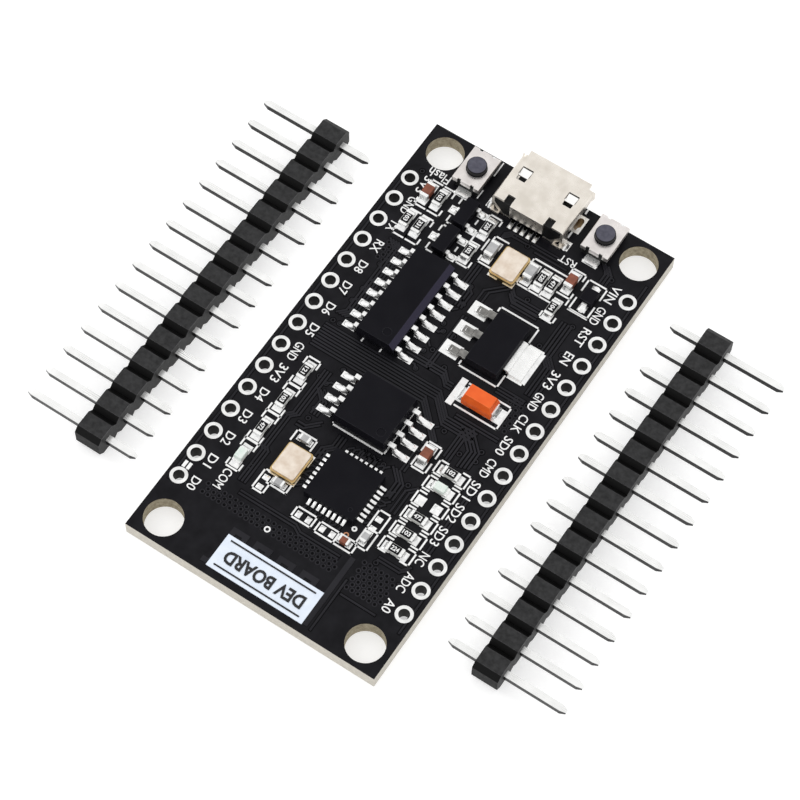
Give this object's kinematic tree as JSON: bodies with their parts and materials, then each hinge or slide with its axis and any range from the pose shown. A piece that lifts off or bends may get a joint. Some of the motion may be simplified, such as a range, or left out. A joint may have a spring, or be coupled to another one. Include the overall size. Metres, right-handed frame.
{
  "type": "microcontroller development board",
  "caption": "Small black wireless microcontroller board with a USB socket, two push buttons, corner mounting holes and plated pin rows, with loose header strips beside it.",
  "frame": {"origin": "centre of the four mounting holes, on the board's underside", "axes": "+Z out of the component side, +Y towards the USB socket, +X to the right with the USB socket at the far end; the two loose header strips lie along Y, at -X and +X"},
  "size_m": [0.054, 0.0487, 0.0043],
  "materials": {
    "solder_mask": "satin black solder mask over glass-epoxy laminate",
    "solder_mask_trace": "satin black solder mask over copper",
    "tin_plating": "bright tin plating and solder",
    "gold_plating": "thin gold plating",
    "pin_plating": "bright tin plated square pins",
    "nickel_shell": "nickel plated sheet steel",
    "button_steel": "bright stamped steel",
    "black_moulding": "matt black moulding",
    "grey_moulding": "matt dark grey moulding",
    "chip_epoxy": "fine matt black epoxy",
    "gold_rim": "gold plated rim over ceramic",
    "crystal_lid": "brushed nickel-iron lid",
    "orange_moulding": "satin orange moulding",
    "white_ceramic": "white ceramic",
    "resistor_glaze": "black glass coat",
    "brown_ceramic": "reddish brown ceramic",
    "grey_ceramic": "light grey ceramic",
    "led_resin": "cloudy clear resin"
  },
  "bodies": {
    "board": {"circuit_board": "solder_mask", "pin_hole_barrels": "tin_plating", "shell_slot_plating": "tin_plating", "solder_lands": "tin_plating", "antenna_trace": "solder_mask_trace", "usb_shell": "nickel_shell", "usb_insulator": "black_moulding", "usb_contacts": "gold_plating", "flash_button_base": "black_moulding", "flash_button_cover": "button_steel", "flash_button_dome": "button_steel", "flash_button_terminals": "tin_plating", "reset_button_base": "black_moulding", "reset_button_cover": "button_steel", "reset_button_dome": "button_steel", "reset_button_terminals": "tin_plating", "usb_chip_body": "chip_epoxy", "usb_chip_leads": "tin_plating", "memory_chip_body": "chip_epoxy", "memory_chip_leads": "tin_plating", "wifi_chip_body": "chip_epoxy", "wifi_chip_pads": "tin_plating", "usb_crystal_base": "gold_rim", "usb_crystal_lid": "crystal_lid", "wifi_crystal_base": "gold_rim", "wifi_crystal_lid": "crystal_lid", "regulator_body": "chip_epoxy", "regulator_leads": "tin_plating", "regulator_tab": "tin_plating", "upper_transistor_body": "chip_epoxy", "lower_transistor_body": "chip_epoxy", "transistor_leads": "tin_plating", "diode_body": "chip_epoxy", "diode_leads": "tin_plating", "tantalum_body": "orange_moulding", "tantalum_terminals": "tin_plating", "resistor_bodies": "white_ceramic", "resistor_end_caps": "tin_plating", "resistor_coats": "resistor_glaze", "brown_capacitor_bodies": "brown_ceramic", "brown_capacitor_end_caps": "tin_plating", "grey_capacitor_bodies": "grey_ceramic", "grey_capacitor_end_caps": "tin_plating", "led_bases": "white_ceramic", "led_end_caps": "tin_plating", "led_lenses": "led_resin"},
    "flash_plunger": {"flash_button_plunger": "grey_moulding"},
    "reset_plunger": {"reset_button_plunger": "grey_moulding"},
    "left_header": {"left_header_housing": "black_moulding", "left_header_pins": "pin_plating"},
    "right_header": {"right_header_housing": "black_moulding", "right_header_pins": "pin_plating"}
  },
  "joints": [
    {"name": "flash_button_press", "type": "slide", "parent": "board", "child": "flash_plunger", "axis": [0, 0, -1], "range_m": [0, 0.00025], "stiffness_N_per_m": 4000},
    {"name": "reset_button_press", "type": "slide", "parent": "board", "child": "reset_plunger", "axis": [0, 0, -1], "range_m": [0, 0.00025], "stiffness_N_per_m": 4000},
    {"name": "left_header_lift", "type": "slide", "parent": "board", "child": "left_header", "axis": [0, 0, 1], "range_m": [0, 0.02]},
    {"name": "right_header_lift", "type": "slide", "parent": "board", "child": "right_header", "axis": [0, 0, 1], "range_m": [0, 0.02]}
  ]
}
